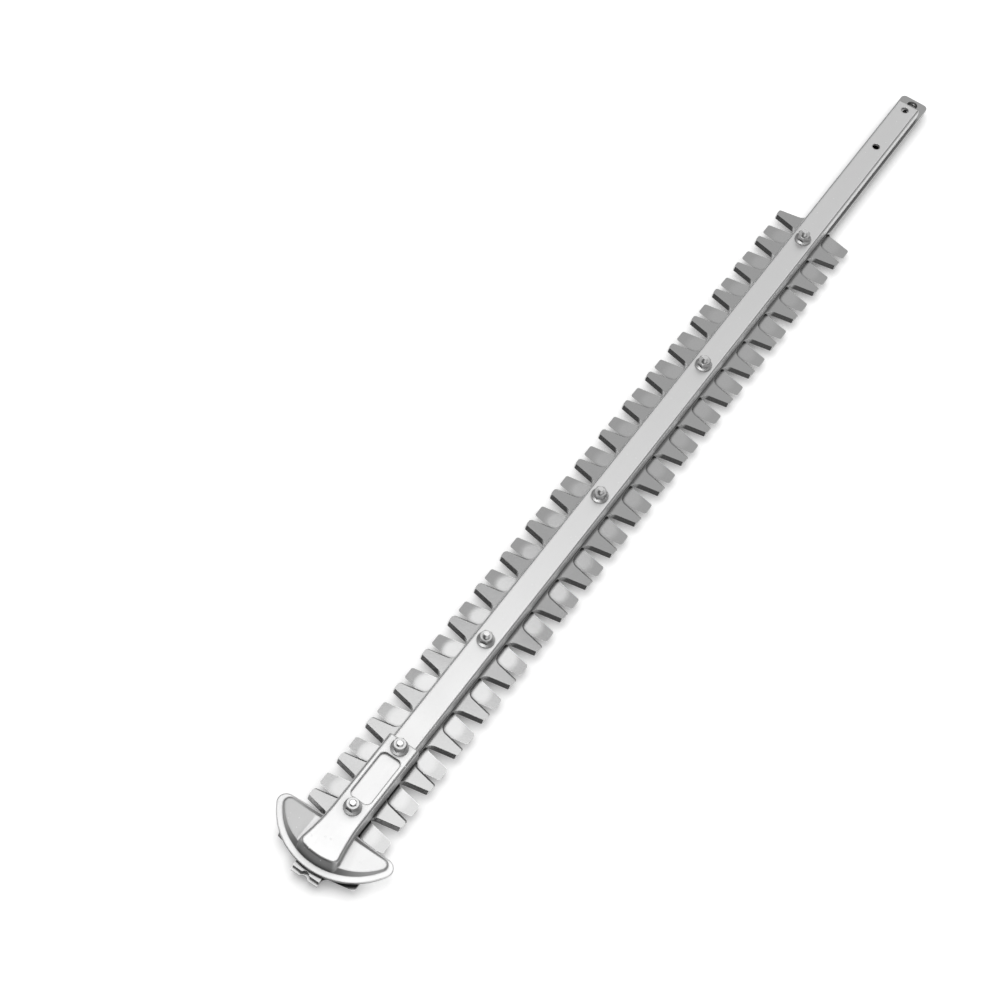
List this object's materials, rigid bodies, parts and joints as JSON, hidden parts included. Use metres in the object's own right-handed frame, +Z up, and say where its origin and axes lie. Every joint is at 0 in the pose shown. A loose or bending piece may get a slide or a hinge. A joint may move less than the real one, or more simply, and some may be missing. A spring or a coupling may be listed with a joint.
{
  "type": "hedge trimmer blade",
  "caption": "Long double sided hedge trimmer blade: two toothed blades sliding under a channel bar, with a half moon tip guard.",
  "frame": {"origin": "midway between the two gear case holes, on the top face of the guide bar", "axes": "+X along the bar from the gear case to the tip guard, +Z up from the blades through the bar, square to its top face"},
  "size_m": [0.7755, 0.0846, 0.0282],
  "materials": {
    "bar_steel": "satin nickel plated sheet",
    "blade_steel": "hardened and shot blasted, flanks ground",
    "guard_steel": "satin nickel plated pressing",
    "bolt_steel": "bright zinc plated",
    "nut_steel": "bright zinc plated",
    "washer_steel": "bright zinc plated",
    "sleeve_steel": "turned, oiled"
  },
  "bodies": {
    "guide_bar_body": {"guide_bar": "bar_steel", "tip_guard": "guard_steel", "bolt_1": "bolt_steel", "washer_1": "washer_steel", "sleeve_1": "sleeve_steel", "flange_nut_1": "nut_steel", "bolt_2": "bolt_steel", "washer_2": "washer_steel", "sleeve_2": "sleeve_steel", "flange_nut_2": "nut_steel", "bolt_3": "bolt_steel", "washer_3": "washer_steel", "sleeve_3": "sleeve_steel", "flange_nut_3": "nut_steel", "bolt_4": "bolt_steel", "washer_4": "washer_steel", "sleeve_4": "sleeve_steel", "flange_nut_4": "nut_steel", "bolt_5": "bolt_steel", "washer_5": "washer_steel", "sleeve_5": "sleeve_steel", "flange_nut_5": "nut_steel", "bolt_6": "bolt_steel", "washer_6": "washer_steel", "sleeve_6": "sleeve_steel", "flange_nut_6": "nut_steel"},
    "upper_blade_body": {"upper_blade": "blade_steel"},
    "lower_blade_body": {"lower_blade": "blade_steel"}
  },
  "joints": [
    {"name": "upper_blade_slide", "type": "slide", "parent": "guide_bar_body", "child": "upper_blade_body", "axis": [1, 0, 0], "range_m": [-0.0055, 0.0075]},
    {"name": "lower_blade_slide", "type": "slide", "parent": "guide_bar_body", "child": "lower_blade_body", "axis": [1, 0, 0], "range_m": [-0.0075, 0.0055]}
  ]
}
